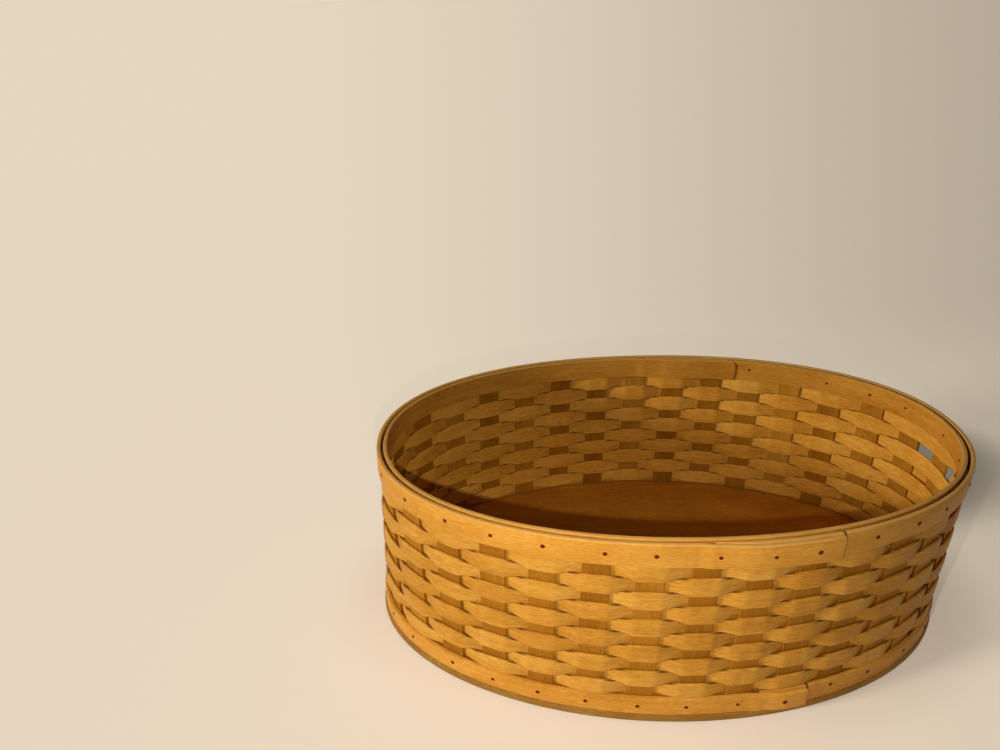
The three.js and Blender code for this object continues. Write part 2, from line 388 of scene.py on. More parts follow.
def weave(tree, start, stake):
    """How far the strip leans outward, on which side it passes, and how much it widens."""
    # The small amount keeps rounding from picking the stake before.
    before = calc(tree, "FLOOR", calc(tree, "ADD", stake, 0.0001))
    part = calc(tree, "SUBTRACT", stake, before)
    here = side_of(tree, start["Row"], before)
    there = side_of(tree, start["Row"], calc(tree, "ADD", before, 1.0))
    turn = calc(tree, "MULTIPLY", part, math.pi)
    straight = put(tree, "ShaderNodeMapRange", {},
                   {"Value": part, "From Min": STRAIGHT_PART[0], "From Max": STRAIGHT_PART[1],
                    "To Min": 0.0, "To Max": STRAIGHT_SHARE})
    soft = eased(tree, part, *SOFT_PART, 0.0, 1 - STRAIGHT_SHARE)
    lean = blend_between(tree, calc(tree, "ADD", straight.outputs[0], soft), here, there)
    halfway = calc(tree, "MULTIPLY_ADD", calc(tree, "COSINE", turn), -0.5, 0.5)
    side = blend_between(tree, halfway, here, there)
    full = blend_between(tree, calc(tree, "GREATER_THAN", side, 0.0),
                         start["Spread Inside"], start["Spread Outside"])
    spread = calc(tree, "MULTIPLY", full, calc(tree, "ABSOLUTE", lean))
    alike = calc(tree, "MULTIPLY", calc(tree, "ABSOLUTE", calc(tree, "ADD", here, there)), 0.5)
    sag = calc(tree, "MULTIPLY", calc(tree, "SINE", turn), calc(tree, "MULTIPLY", alike, SAG_BETWEEN))
    lean = calc(tree, "MULTIPLY", lean, calc(tree, "SUBTRACT", 1.0, sag))
    return lean, side, spread


def woven_row_tree():
    """A strip that passes outside one stake and inside the next, wider over the stakes."""
    tree, start, end = new_tree("woven_row", {
        "Row": 1.0, "First Stake": 0.0, "Last Stake": 32.0, "Stations": 641,
        "Thickness": WEAVER_THICK, "Width": 0.016, "Edge Radius": 0.0005,
        "Reach": WEAVER_REACH, "Crown": WEAVER_CROWN, "Wander": WEAVER_WANDER,
        "Spread Outside": SPREAD_OUTSIDE, "Spread Inside": SPREAD_INSIDE,
        "Spreads Up": 1.0, "Spreads Down": 1.0, "Middle Height": 0.1, "Material": None,
    })
    strip = straight_strip(tree, start["Stations"], start["Thickness"], start["Width"],
                           start["Edge Radius"], 1, 2)
    along = read(tree, "along")
    near, up = section_of(tree)
    stake = blend_between(tree, along, start["First Stake"], start["Last Stake"])
    share = calc(tree, "DIVIDE", calc(tree, "ADD", stake, STAKE_SHIFT), STAKES)
    lean, side, spread = weave(tree, start, stake)
    around = calc(tree, "MULTIPLY", calc(tree, "FRACT", share), 2 * math.pi)
    ring_x = calc(tree, "COSINE", around)
    ring_y = calc(tree, "SINE", around)
    size = calc(tree, "ADD", 1.0, wobble(tree, ring_x, start["Row"], REACH_PACE, REACH_VARIES, 11.0))
    size = calc(tree, "ADD", size, wobble(tree, ring_y, start["Row"], REACH_PACE, REACH_VARIES, 31.0))
    out = calc(tree, "MULTIPLY", calc(tree, "MULTIPLY", lean, start["Reach"]), size)
    twist = wobble(tree, ring_x, start["Row"], TWIST_PACE, WEAVER_TWIST, 51.0)
    out = calc(tree, "ADD", calc(tree, "ADD", out, near), calc(tree, "MULTIPLY", up, twist))
    edge = calc(tree, "DIVIDE", calc(tree, "MULTIPLY", up, 2.0), start["Width"])
    bow = calc(tree, "MULTIPLY", calc(tree, "MULTIPLY", edge, edge), start["Crown"])
    out = calc(tree, "SUBTRACT", out, calc(tree, "MULTIPLY", bow, lean))
    drift = calc(tree, "ADD", wobble(tree, ring_x, 1.0, WANDER_PACE, start["Wander"], 71.0),
                 wobble(tree, ring_y, 1.0, WANDER_PACE, start["Wander"], 91.0))
    above = calc(tree, "MULTIPLY", start["Spreads Up"], spread)
    below = calc(tree, "MULTIPLY", start["Spreads Down"], spread)
    taller = calc(tree, "DIVIDE", calc(tree, "ADD", above, below), start["Width"])
    middle = calc(tree, "MULTIPLY_ADD", calc(tree, "SUBTRACT", above, below), 0.5,
                  start["Middle Height"])
    height = calc(tree, "MULTIPLY_ADD", up, calc(tree, "ADD", 1.0, taller),
                  calc(tree, "ADD", middle, drift))
    # The edge, the inner face and the nearness of a crossing are kept for the painted light and the
    # painted shade.
    marked = keep(tree, strip.outputs[0], "edge", edge)
    marked = keep(tree, marked, "inner", eased(tree, near, *INNER_FACE))
    crossing = eased(tree, calc(tree, "ABSOLUTE", side), *NEAR_CROSSING)
    marked = keep(tree, marked, "crossing", crossing)
    finish_strip(tree, marked, share, height, out,
                 calc(tree, "MULTIPLY", share, GIRTH),
                 calc(tree, "ADD", up, near), start["Material"], end)
    return tree


def walk_band(tree, start, along):
    """How far along the band a station lies, and how far it is from the band's end."""
    left = calc(tree, "SUBTRACT", 1.0, along)
    total = calc(tree, "ADD", start["Lap"], GIRTH)
    close = calc(tree, "MULTIPLY", left, END_REACH / END_STATIONS)
    rest = calc(tree, "DIVIDE", calc(tree, "SUBTRACT", total, END_REACH), 1 - END_STATIONS)
    far = calc(tree, "MULTIPLY_ADD", calc(tree, "SUBTRACT", left, END_STATIONS), rest, END_REACH)
    from_end = blend_between(tree, calc(tree, "GREATER_THAN", left, END_STATIONS), close, far)
    return calc(tree, "SUBTRACT", total, from_end), from_end


def lap_layers(tree, start, walked, from_end):
    """The band's own thickness here, and how far its middle is from the middle of the wall."""
    lapping = calc(tree, "SUBTRACT", walked, GIRTH)
    own = eased(tree, walked, 0.0, start["Taper"], BAND_TIP, start["Thickness"])
    own = calc(tree, "MULTIPLY", own, eased(tree, from_end, 0.0, TIP_REACH, start["Tip"], 1.0))
    under = eased(tree, lapping, 0.0, start["Taper"], BAND_TIP, start["Thickness"])
    climb = eased(tree, lapping, -LAP_CLIMB, 0.0, 0.0, 1.0)
    middle = calc(tree, "MULTIPLY_ADD", own, 0.5, start["Near"])
    middle = calc(tree, "MULTIPLY_ADD", climb, calc(tree, "ADD", under, start["Lap Gap"]), middle)
    return own, middle


def end_corners(tree, start, from_end, tall):
    """The part of its height that the band keeps where the corners of its end are rounded."""
    to_corner = calc(tree, "DIVIDE", from_end, start["Corner"])
    inside = calc(tree, "MAXIMUM", calc(tree, "SUBTRACT", 1.0, to_corner), 0.0)
    square = calc(tree, "SUBTRACT", 1.0, calc(tree, "MULTIPLY", inside, inside))
    curve = calc(tree, "SQRT", calc(tree, "MAXIMUM", square, 0.0))
    trim = calc(tree, "MULTIPLY", start["Corner"], calc(tree, "SUBTRACT", 1.0, curve))
    trimmed = calc(tree, "DIVIDE", calc(tree, "MULTIPLY", trim, 2.0), tall)
    return calc(tree, "SUBTRACT", 1.0, trimmed)


def lapped_band_tree():
    """A band that goes once round the wall and then climbs over its own shaved start."""
    tree, start, end = new_tree("lapped_band", {
        "Low": 0.0, "High": 0.02, "End": 0.8, "Lap": 0.1, "Taper": 0.04, "Turn": 1.0,
        "Face": 1.0, "Stations": 900, "Thickness": BAND_THICK, "Near": BAND_NEAR,
        "Lap Gap": LAP_GAP, "Corner": 0.004, "Tip": 1.0, "Edge Radius": 0.0008, "Material": None,
    })
    tall = calc(tree, "SUBTRACT", start["High"], start["Low"])
    strip = straight_strip(tree, start["Stations"], start["Thickness"], tall,
                           start["Edge Radius"], 0, 4)
    along = read(tree, "along")
    near, up = section_of(tree)
    walked, from_end = walk_band(tree, start, along)
    lap_share = calc(tree, "DIVIDE", start["Lap"], GIRTH)
    begin = calc(tree, "SUBTRACT", start["End"], calc(tree, "MULTIPLY", start["Turn"], lap_share))
    walked_share = calc(tree, "DIVIDE", walked, GIRTH)
    share = calc(tree, "ADD", begin, calc(tree, "MULTIPLY", start["Turn"], walked_share))
    own, middle = lap_layers(tree, start, walked, from_end)
    depth = calc(tree, "MULTIPLY", near, calc(tree, "DIVIDE", own, start["Thickness"]))
    ripple = wobble(tree, share, start["Low"], RIPPLE_PACE, BAND_RIPPLE, 5.0)
    reach = calc(tree, "ADD", middle, calc(tree, "ADD", depth, ripple))
    out = calc(tree, "MULTIPLY", start["Face"], reach)
    centre = calc(tree, "MULTIPLY", calc(tree, "ADD", start["High"], start["Low"]), 0.5)
    height = calc(tree, "MULTIPLY_ADD", up, end_corners(tree, start, from_end, tall), centre)
    # How high on the band, for the painted highlight on its top edge.
    level = calc(tree, "DIVIDE", calc(tree, "MULTIPLY", up, 2.0), tall)
    at_rim = calc(tree, "GREATER_THAN", start["High"], HEIGHT / 2)
    edge = calc(tree, "MULTIPLY", level, blend_between(tree, at_rim, BOTTOM_BAND_HIGHLIGHT, 1.0))
    marked = keep(tree, strip.outputs[0], "band_edge", edge)
    # Outer bands keep the lap's length, for a painted shadow line past the lap's end.
    outside = calc(tree, "GREATER_THAN", start["Face"], 0.0)
    marked = keep(tree, marked, "lap_shadow_from", calc(tree, "MULTIPLY", start["Lap"], outside))
    finish_strip(tree, marked, share, height, out,
                 walked, calc(tree, "ADD", up, near), start["Material"], end)
    return tree


def stake_tree():
    """An upright splint, with painted shade where its top is sunk between the rim bands."""
    tree, start, end = new_tree("upright_stake", {
        "Stake": 0.0, "Low": 0.0, "High": 0.2, "Width": STAKE_WIDTH, "Thickness": STAKE_THICK,
        "Edge Radius": 0.0004, "Stations": 14, "Material": None,
    })
    strip = straight_strip(tree, start["Stations"], start["Width"], start["Thickness"],
                           start["Edge Radius"], 3, 2)
    along = read(tree, "along")
    side, near = section_of(tree)
    height = blend_between(tree, along, start["Low"], start["High"])
    share = calc(tree, "DIVIDE", calc(tree, "ADD", start["Stake"], STAKE_SHIFT), STAKES)
    share = calc(tree, "ADD", share, calc(tree, "DIVIDE", side, GIRTH))
    # Painted shade, growing toward the groove.
    groove_shade = eased(tree, height, GROOVE_FROM, GROOVE_TO, 0.0, 1.0)
    marked = keep(tree, strip.outputs[0], "nook", groove_shade)
    finish_strip(tree, marked, share, height, near,
                 height, calc(tree, "ADD", side, near), start["Material"], end)
    return tree


def nail_tree():
    """Each point of the given mesh holds a share of the girth, a distance outward and a height."""
    tree, start, end = new_tree("nail_heads", {
        "Head Radius": NAIL_RADIUS, "Head Rise": NAIL_RISE, "Seed": 5, "Facing": 1.0, "Material": None,
    })
    spot = put(tree, "GeometryNodeInputPosition").outputs[0]
    split = put(tree, "ShaderNodeSeparateXYZ", {}, {"Vector": spot})
    position, outward = on_wall(tree, split.outputs["X"], split.outputs["Z"], split.outputs["Y"])
    facing = scaled_by(tree, outward, start["Facing"])
    given = keep(tree, start["Geometry"], "facing", facing, "FLOAT_VECTOR")
    points = put(tree, "GeometryNodeMeshToPoints", {"mode": "VERTICES"},
                 {"Mesh": given, "Position": position})
    ball = put(tree, "GeometryNodeMeshUVSphere", {}, {"Segments": 14, "Rings": 8, "Radius": 1.0})
    shape = put(tree, "ShaderNodeCombineXYZ", {},
                {"X": start["Head Radius"], "Y": start["Head Radius"], "Z": start["Head Rise"]})
    head = put(tree, "GeometryNodeTransform", {},
               {"Geometry": ball.outputs[0], "Scale": shape.outputs[0]})
    turned = put(tree, "FunctionNodeAlignRotationToVector", {"axis": "Z"},
                 {"Vector": read(tree, "facing", "FLOAT_VECTOR")})
    grow_by = put(tree, "FunctionNodeRandomValue", {"data_type": "FLOAT"}, {})
    floats = [s for s in grow_by.inputs if s.type == "VALUE"]
    feed(tree, floats[0], SMALLEST_NAIL)
    feed(tree, floats[1], LARGEST_NAIL)
    feed(tree, grow_by.inputs["Seed"], start["Seed"])
    amount = [s for s in grow_by.outputs if s.type == "VALUE"][0]
    heads = put(tree, "GeometryNodeInstanceOnPoints", {},
                {"Points": points.outputs[0], "Instance": head.outputs[0],
                 "Rotation": turned.outputs[0], "Scale": amount})
    wrap_up(tree, heads.outputs[0], start["Material"], end)
    return tree


def add(name, data):
    """Puts an object with this data into the scene."""
    thing = bpy.data.objects.new(name, data)
    bpy.context.scene.collection.objects.link(thing)
    return thing


def grow(name, tree, values, points=None):
    """Runs a tree on a new object and turns the result into a plain mesh."""
    mesh = bpy.data.meshes.new(name)
    mesh.from_pydata(points or [], [], [])
    thing = add(name, mesh)
    made = thing.modifiers.new("make", "NODES")
    made.node_group = tree
    names = {s.name: s.identifier for s in tree.interface.items_tree if s.in_out == "INPUT"}
    for label, value in values.items():
        made[names[label]] = value
    bpy.context.view_layer.update()
    ready = thing.evaluated_get(bpy.context.evaluated_depsgraph_get())
    plain = bpy.data.meshes.new_from_object(ready)
    thing.modifiers.clear()
    thing.data = plain
    plain.name = name
    return thing


def tidy(thing, tone, angle=14):
    """Closes seams, turns faces outward, sets soft shading and the strip's own tone."""
    mesh = thing.data
    work = bmesh.new()
    work.from_mesh(mesh)
    bmesh.ops.remove_doubles(work, verts=work.verts, dist=0.00001)
    bmesh.ops.recalc_face_normals(work, faces=work.faces)
    work.to_mesh(mesh)
    work.free()
    for name in ("along", "section", "facing"):
        if name in mesh.attributes:
            mesh.attributes.remove(mesh.attributes[name])
    mesh.shade_smooth()
    mesh.set_sharp_from_angle(angle=math.radians(angle))
    shade = mesh.attributes.new("tone", "FLOAT", "POINT")
    shade.data.foreach_set("value", np.full(len(mesh.vertices), tone, np.float32))
    return thing


def srgb(r, g, b):
    """A screen colour as the linear values that shaders take."""
    return tuple((v / 255 / 12.92) if v / 255 <= 0.04045 else ((v / 255 + 0.055) / 1.055) ** 2.4
                 for v in (r, g, b))


# Materials. The streaks' scales are in cycles per metre, along the grain and twice across it.

FINE_GRAIN = (110.0, 620.0, 620.0)
BROAD_GRAIN = (7.0, 190.0, 190.0)
DRIFT = (13.0, 30.0, 30.0)
FLECKS = (210.0, 1500.0, 1500.0)
FINE_SHARE = 0.58
BROAD_SHARE = 0.20
DRIFT_SHARE = 0.46
DARK_TONE = 0.32
MIDDLE_TONE = 0.57
LIGHT_TONE = 0.82
FLECKS_SHOW = (0.60, 0.72)
FLECKS_DARKEN_TO = 0.80
# The strips' inner faces are painted lighter, standing in for the light inside the basket.
INNER_FACE_PAINTED_LIGHT = 0.17
STREAKS_ROUGHER = 0.16
LOW_SHINE = 0.07
GRAIN_RELIEF = 0.0005
RELIEF_STRENGTH = 0.32

# Painted shade: dark lines where the strips cross and past the laps' ends, and the dark groove; painted
# highlight on the bands' top edges. Each range from where to where and how much.
PAINTED_SHADE_COLOUR = srgb(64, 22, 8)
CROSSING_SHADE_LINE = (0.84, 0.97, 0.0, 0.8)
LAP_SHADOW_AT = 0.0013
LAP_SHADOW_LINE = (0.0006, 0.0020, 0.8, 0.0)
GROOVE_PAINTED_SHADE = 0.85
TOP_HIGHLIGHT = (0.92, 0.98, 0.0, 0.75)
HIGHLIGHT_TINT = (0.30, 0.19, 0.065)
HIGHLIGHT_KEEPS = (0.8, 0.8, 0.8)


def new_material(name):
    """A material with its tree and its shader."""
    material = bpy.data.materials.new(name)
    material.use_nodes = True
    return material, material.node_tree, material.node_tree.nodes["Principled BSDF"]


def mark(tree, name):
    """What the mesh keeps under this name, or 0 where it keeps nothing."""
    return put(tree, "ShaderNodeAttribute", {"attribute_name": name}).outputs["Fac"]


def mix_colours(tree, share, first, second):
    """The first colour where the share is 0, the second where it is 1."""
    node = put(tree, "ShaderNodeMix", {"data_type": "RGBA"}, {"Factor": share})
    pair = [k for k in node.inputs if k.type == "RGBA"]
    feed(tree, pair[0], first)
    feed(tree, pair[1], second)
    return [k for k in node.outputs if k.type == "RGBA"][0]


def painted_shade(tree, uv):
    """Painted shade on the strips' edges where they cross and on the sunk stake tops, and a painted shadow
    line past a lap's end.
    """
    at_edge = calc(tree, "ABSOLUTE", mark(tree, "edge"))
    line = calc(tree, "MULTIPLY", mark(tree, "crossing"), eased(tree, at_edge, *CROSSING_SHADE_LINE))
    # A painted shadow line just past where the lap ends.
    lap = mark(tree, "lap_shadow_from")
    walked = put(tree, "ShaderNodeSeparateXYZ", {}, {"Vector": uv}).outputs["X"]
    past_lap = calc(tree, "SUBTRACT", calc(tree, "SUBTRACT", walked, lap), LAP_SHADOW_AT)
    lap_shadow = calc(tree, "MULTIPLY", calc(tree, "GREATER_THAN", lap, 0.0),
                    eased(tree, calc(tree, "ABSOLUTE", past_lap), *LAP_SHADOW_LINE))
    groove_shade = calc(tree, "MULTIPLY", mark(tree, "nook"), GROOVE_PAINTED_SHADE)
    return calc(tree, "MAXIMUM", calc(tree, "MAXIMUM", line, groove_shade), lap_shadow)


def painted_top_highlight(tree, colour):
    """Painted highlight: paler along the bands' upper edges, where light falls on their tops."""
    lit_top = eased(tree, mark(tree, "band_edge"), *TOP_HIGHLIGHT)
    paler = steer(tree, "MULTIPLY_ADD", colour, HIGHLIGHT_KEEPS, HIGHLIGHT_TINT)
    return mix_colours(tree, lit_top, colour, paler)


def wood(name, light, middle, dark, gloss, streak=1.0, tone_reach=0.16, coords="UV", foot=None):
    """Varnished splint: fine streaks along the grain, slow drifts of colour and a few flecks."""
    material, tree, shader = new_material(name)
    source = put(tree, "ShaderNodeTexCoord")
    tone = mark(tree, "tone")
    # Each piece is cut from another place in the grain.
    offset = put(tree, "ShaderNodeCombineXYZ", {},
                 {"X": calc(tree, "MULTIPLY", tone, 7.3), "Y": calc(tree, "MULTIPLY", tone, 3.1)})
    spot = steer(tree, "ADD", source.outputs[coords], offset.outputs[0])

    def grain(stretch, detail, rough=0.55):
        scaled = steer(tree, "MULTIPLY", spot, stretch)
        return put(tree, "ShaderNodeTexNoise", {},
                   {"Vector": scaled, "Scale": 1.0, "Detail": detail, "Roughness": rough}).outputs[0]

    fine = grain(FINE_GRAIN, 4.0, 0.66)
    broad = grain(BROAD_GRAIN, 3.0)
    drift = grain(DRIFT, 2.0)
    streaks = calc(tree, "MULTIPLY", broad, BROAD_SHARE * streak)
    streaks = calc(tree, "MULTIPLY_ADD", fine, FINE_SHARE * streak, streaks)
    mixed = calc(tree, "ADD", streaks, calc(tree, "MULTIPLY", drift, DRIFT_SHARE))
    # The three noises lie about 0.5, and the level brings the mix about the middle tone.
    level = MIDDLE_TONE - (FINE_SHARE + BROAD_SHARE) / 2 * streak - DRIFT_SHARE / 2 - tone_reach
    mixed = calc(tree, "ADD", mixed, calc(tree, "MULTIPLY_ADD", tone, tone_reach * 2, level))

    def tones(light, middle, dark):
        ramp = put(tree, "ShaderNodeValToRGB", {}, {"Fac": mixed})
        stops = ramp.color_ramp.elements
        stops[0].position = DARK_TONE
        stops[0].color = (*dark, 1)
        stops[1].position = LIGHT_TONE
        stops[1].color = (*light, 1)
        centre = stops.new(MIDDLE_TONE)
        centre.color = (*middle, 1)
        return ramp.outputs[0]

    colour = tones(light, middle, dark)
    if foot:
        colour = mix_colours(tree, mark(tree, "foot"), colour, tones(*foot))
    flecks = put(tree, "ShaderNodeMapRange", {},
                 {"Value": grain(FLECKS, 2.0, 0.5),
                  "From Min": FLECKS_SHOW[0], "From Max": FLECKS_SHOW[1],
                  "To Min": 1.0, "To Max": FLECKS_DARKEN_TO}).outputs[0]
    # Painted light on the strips' inner faces.
    inner = calc(tree, "MULTIPLY_ADD", mark(tree, "inner"), INNER_FACE_PAINTED_LIGHT, 1.0)
    colour = scaled_by(tree, colour, calc(tree, "MULTIPLY", flecks, inner))
    # Painted highlight on the bands' top edges.
    colour = painted_top_highlight(tree, colour)
    # The painted shade is mixed in last, in one dark colour.
    painted_shade_share = painted_shade(tree, source.outputs["UV"])
    colour = mix_colours(tree, painted_shade_share, colour, (*PAINTED_SHADE_COLOUR, 1))
    feed(tree, shader.inputs["Base Color"], colour)
    rough = calc(tree, "MULTIPLY_ADD", fine, STREAKS_ROUGHER, gloss)
    feed(tree, shader.inputs["Roughness"], rough)
    shader.inputs["Specular IOR Level"].default_value = LOW_SHINE
    relief = calc(tree, "MULTIPLY_ADD", broad, 0.5, fine)
    bump = put(tree, "ShaderNodeBump", {},
               {"Strength": RELIEF_STRENGTH, "Distance": GRAIN_RELIEF, "Height": relief})
    feed(tree, shader.inputs["Normal"], bump.outputs[0])
    return material


# Each wood has a light, a middle and a dark tone, and a roughness.
weaver_wood = wood("weaver_splint", srgb(222, 168, 76), srgb(200, 139, 48), srgb(168, 107, 28), 0.36,
                   streak=1.3, tone_reach=0.06)
# The stake wood is darker than the weaver wood: painted shade for the stakes behind the strips.
stake_wood = wood("stake_splint", srgb(190, 132, 42), srgb(164, 106, 24), srgb(136, 82, 14), 0.42)
band_wood = wood("band_wood", srgb(228, 169, 77), srgb(209, 145, 52), srgb(178, 112, 31), 0.34, streak=1.2)
floor_wood = wood("floor_wood", srgb(202, 136, 42), srgb(177, 110, 27), srgb(145, 86, 18), 0.38,
                  coords="Object", foot=(srgb(176, 130, 62), srgb(148, 104, 40), srgb(120, 80, 26)))


def nail_metal():
    """Nail heads browned by varnish and age."""
    material, tree, shader = new_material("dark_nail")
    spot = put(tree, "ShaderNodeTexCoord").outputs["Object"]
    noise = put(tree, "ShaderNodeTexNoise", {}, {"Vector": spot, "Scale": 900.0, "Detail": 3.0})
    ramp = put(tree, "ShaderNodeValToRGB", {}, {"Fac": noise.outputs[0]})
    ramp.color_ramp.elements[0].position = 0.35
    ramp.color_ramp.elements[0].color = (*srgb(76, 20, 2), 1)
    ramp.color_ramp.elements[1].position = 0.7
    ramp.color_ramp.elements[1].color = (*srgb(118, 42, 6), 1)
    feed(tree, shader.inputs["Base Color"], ramp.outputs[0])
    feed(tree, shader.inputs["Roughness"], calc(tree, "MULTIPLY_ADD", noise.outputs[0], 0.2, 0.45))
    shader.inputs["Specular IOR Level"].default_value = 0.1
    bump = put(tree, "ShaderNodeBump", {},
               {"Strength": 0.4, "Distance": 0.0004, "Height": noise.outputs[0]})
    feed(tree, shader.inputs["Normal"], bump.outputs[0])
    return material


nail_dark = nail_metal()

# The basket.

rng = np.random.default_rng(20)


def settle(piece, slot, *nodes):
    """Ties a finished piece to the body and hides the solids that it stands for. The slot is not used."""
    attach(piece, "root")
    if nodes:
        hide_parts(*nodes)


STAKE = stake_tree()
for number in range(STAKES):
    node = f"stake_{number + 1:02d}"
    piece = grow(f"{node}_splint", STAKE, {
        "Stake": float(number), "Low": FOOT_HEIGHT + CLEAR,
        "High": HEIGHT - STAKE_SUNK - float(rng.uniform(0, STAKE_TOPS_VARY)), "Material": stake_wood})
    tidy(piece, float(rng.uniform(0.1, 0.9)))
    settle(piece, "stake_splint", node)


def open_loop(mesh):
    """Takes the end caps off a strip that closes on itself."""
    work = bmesh.new()
    work.from_mesh(mesh)
    caps = [f for f in work.faces if len(f.verts) > 4]
    bmesh.ops.delete(work, geom=caps, context="FACES_ONLY")
    work.to_mesh(mesh)
    work.free()


def row_runs(row):
    """Where a row's strips start and end, in stakes. Row 2 is cut at both ends, which makes the slots."""
    half = STAKES / 2
    if row == SLOT_ROW:
        return [("_back", -CUT_ROW_REACH, half - 2 + CUT_ROW_REACH),
                ("_front", half - CUT_ROW_REACH, STAKES - 2 + CUT_ROW_REACH)]
    return [("", 0.0, float(STAKES))]


WOVEN_ROW = woven_row_tree()
for row in range(1, ROWS + 1):
    middle = BOTTOM_BAND_TOP + (ROWS - row + 0.5) * ROW_PITCH
    for label, first, last in row_runs(row):
        node = f"weaver_row_{row:02d}{label}"
        piece = grow(f"{node}_splint", WOVEN_ROW, {
            "Row": float(row), "First Stake": first, "Last Stake": last,
            "Stations": int((last - first) * STATIONS_PER_STAKE) + 1,
            "Width": ROW_PITCH, "Middle Height": middle, "Material": weaver_wood,
            "Spreads Up": float(row > 1), "Spreads Down": float(row < ROWS)})
        if row != SLOT_ROW:
            open_loop(piece.data)
        tidy(piece, float(rng.uniform(0.05, 0.95)))
        settle(piece, "weaver_splint", node)

LAPPED_BAND = lapped_band_tree()

# End is the share of the girth where the lap ends, Lap its length, Taper the length that is shaved,
# Turn the way round, Face the side of the wall, Corner the rounding of the end's corners, and Tip
# the part of the thickness that is left at the end.
BANDS = {
    "bottom_band": {
        "Low": BOTTOM_BAND_LOW, "High": BOTTOM_BAND_TOP, "End": 0.827, "Lap": 0.046,
        "Taper": 0.026, "Turn": 1.0, "Face": 1.0, "Corner": 0.0015, "Tip": 1.0},
    "rim_outer_band": {
        "Low": RIM_BAND_LOW, "High": HEIGHT, "End": 0.828, "Lap": 0.112,
        "Taper": 0.040, "Turn": 1.0, "Face": 1.0, "Corner": 0.0015, "Tip": 1.0},
    "rim_inner_band": {
        "Low": RIM_BAND_LOW, "High": HEIGHT, "End": 0.172, "Lap": 0.112,
        "Taper": 0.040, "Turn": -1.0, "Face": -1.0, "Corner": 0.006, "Tip": 0.4},
}
# The inner band's low tone makes it darker: painted shade for the band inside the basket.
BAND_TONES = {"bottom_band": 0.35, "rim_outer_band": 0.62, "rim_inner_band": 0.3}
for node, band in BANDS.items():
    piece = grow(f"{node}_wood", LAPPED_BAND, {**band, "Material": band_wood})
    tidy(piece, BAND_TONES[node])
    settle(piece, "band_wood", node)


def floor_piece():
    """The floor board: rounded foot, ledge under the stakes, floor with a rounded upper edge."""
    # The profile from the foot's underside to the floor, as heights and distances outward.
    inside = -(STAKE_FACE + CLEAR)
    r = FOOT_ROUND
    quarter = [math.radians(90 * k / 5) for k in range(6)]
    profile = [(r - r * math.cos(a), FOOT_EDGE - r + r * math.sin(a)) for a in quarter]
    profile += [(FOOT_HEIGHT - r + r * math.sin(a), FOOT_EDGE - r + r * math.cos(a)) for a in quarter]
    profile.append((FOOT_HEIGHT, inside))
    for a in [math.radians(90 * k / 7) for k in range(8)]:
        z = FLOOR_HEIGHT - FLOOR_ROUND_TALL + FLOOR_ROUND_TALL * math.sin(a)
        profile.append((z, inside - FLOOR_ROUND_DEEP * (1 - math.cos(a))))
    count = 400
    shares = np.arange(count) / count
    points, faces = [], []
    for z, out in profile:
        points.extend(map(tuple, place(shares, z, out)))
    for ring in range(len(profile) - 1):
        for k in range(count):
            n = (k + 1) % count
            a, b = ring * count, (ring + 1) * count
            faces.append((a + k, a + n, b + n, b + k))
    faces.append(tuple(range(count)))
    top = (len(profile) - 1) * count
    faces.append(tuple(range(top, top + count)))
    mesh = bpy.data.meshes.new("floor_board_wood")
    mesh.from_pydata(points, [], faces)
    mesh.materials.append(floor_wood)
    thing = add("floor_board_wood", mesh)
    tidy(thing, 0.5, angle=24)
    heights = np.empty(len(mesh.vertices) * 3, np.float32)
    mesh.vertices.foreach_get("co", heights)
    foot = mesh.attributes.new("foot", "FLOAT", "POINT")
    foot.data.foreach_set("value", (heights[2::3] < FOOT_HEIGHT + 0.001).astype(np.float32))
    return thing


settle(floor_piece(), "floor_wood", "floor_board")

# Nails: one through each stake in the outer rim band and the bottom band, and through some stakes in the
# inner rim band, a little uneven.


def soft_step(part):
    """The same easing as in the trees."""
    return part ** 2 * (3 - 2 * part)


def nail_points(places, band):
    """Points at the band's outer face, also where it laps over its own shaved start."""
    lap = band["Lap"]
    points = []
    for stake, rise in places:
        share = (STAKE_SHIFT + stake) / STAKES
        lapping = lap - band["Turn"] * (band["End"] - share) * GIRTH
        out = BAND_FAR
        if 0 < lapping < lap:
            under = soft_step(min(lapping / band["Taper"], 1))
            thinned = 1 - soft_step(min((lap - lapping) / TIP_REACH, 1))
            out += BAND_TIP + (BAND_THICK - BAND_TIP) * under + LAP_GAP
            out -= BAND_THICK * (1 - band["Tip"]) * thinned
        height = (band["Low"] + band["High"]) / 2 + rise
        points.append((share, band["Face"] * (out + NAIL_PROUD), height))
    return points


def uneven(numbers, known):
    """A nail at each stake, a little off its middle, or just where it shows."""
    places = []
    for number in numbers:
        shift = float(rng.uniform(*NAIL_STRAYS_ALONG))
        rise = float(rng.uniform(*NAIL_STRAYS_UP))
        if number in known:
            shift, rise = known[number]
        places.append((number + shift, rise))
    return places


# The nails that show: for each stake, how far off its middle, in stakes, and how high, in metres.
RIM_NAILS = {17: (-0.01, 0), 18: (0.05, 0), 19: (0.02, 0), 20: (0.02, 0), 21: (0.14, 0),
             22: (0.05, 0), 23: (0.17, 0), 24: (0.13, 0), 25: (-0.06, 0), 26: (0.16, 0),
             27: (0.14, 0)}
BOTTOM_NAILS = {17: (-0.11, 0), 18: (0.04, 0), 19: (0, 0), 20: (-0.03, 0), 21: (-0.06, 0),
                22: (-0.03, 0), 23: (-0.07, 0), 24: (-0.04, 0), 25: (-0.1, 0),
                26: (-0.04, 0.004), 27: (-0.09, 0.0016)}
INNER_STAKES = (0, 1, 2, 4, 28, 29, 30, 31)
INNER_NAILS = {0: (0.19, 0.001), 1: (0.09, 0), 2: (0.14, 0), 4: (0.05, 0.0025)}

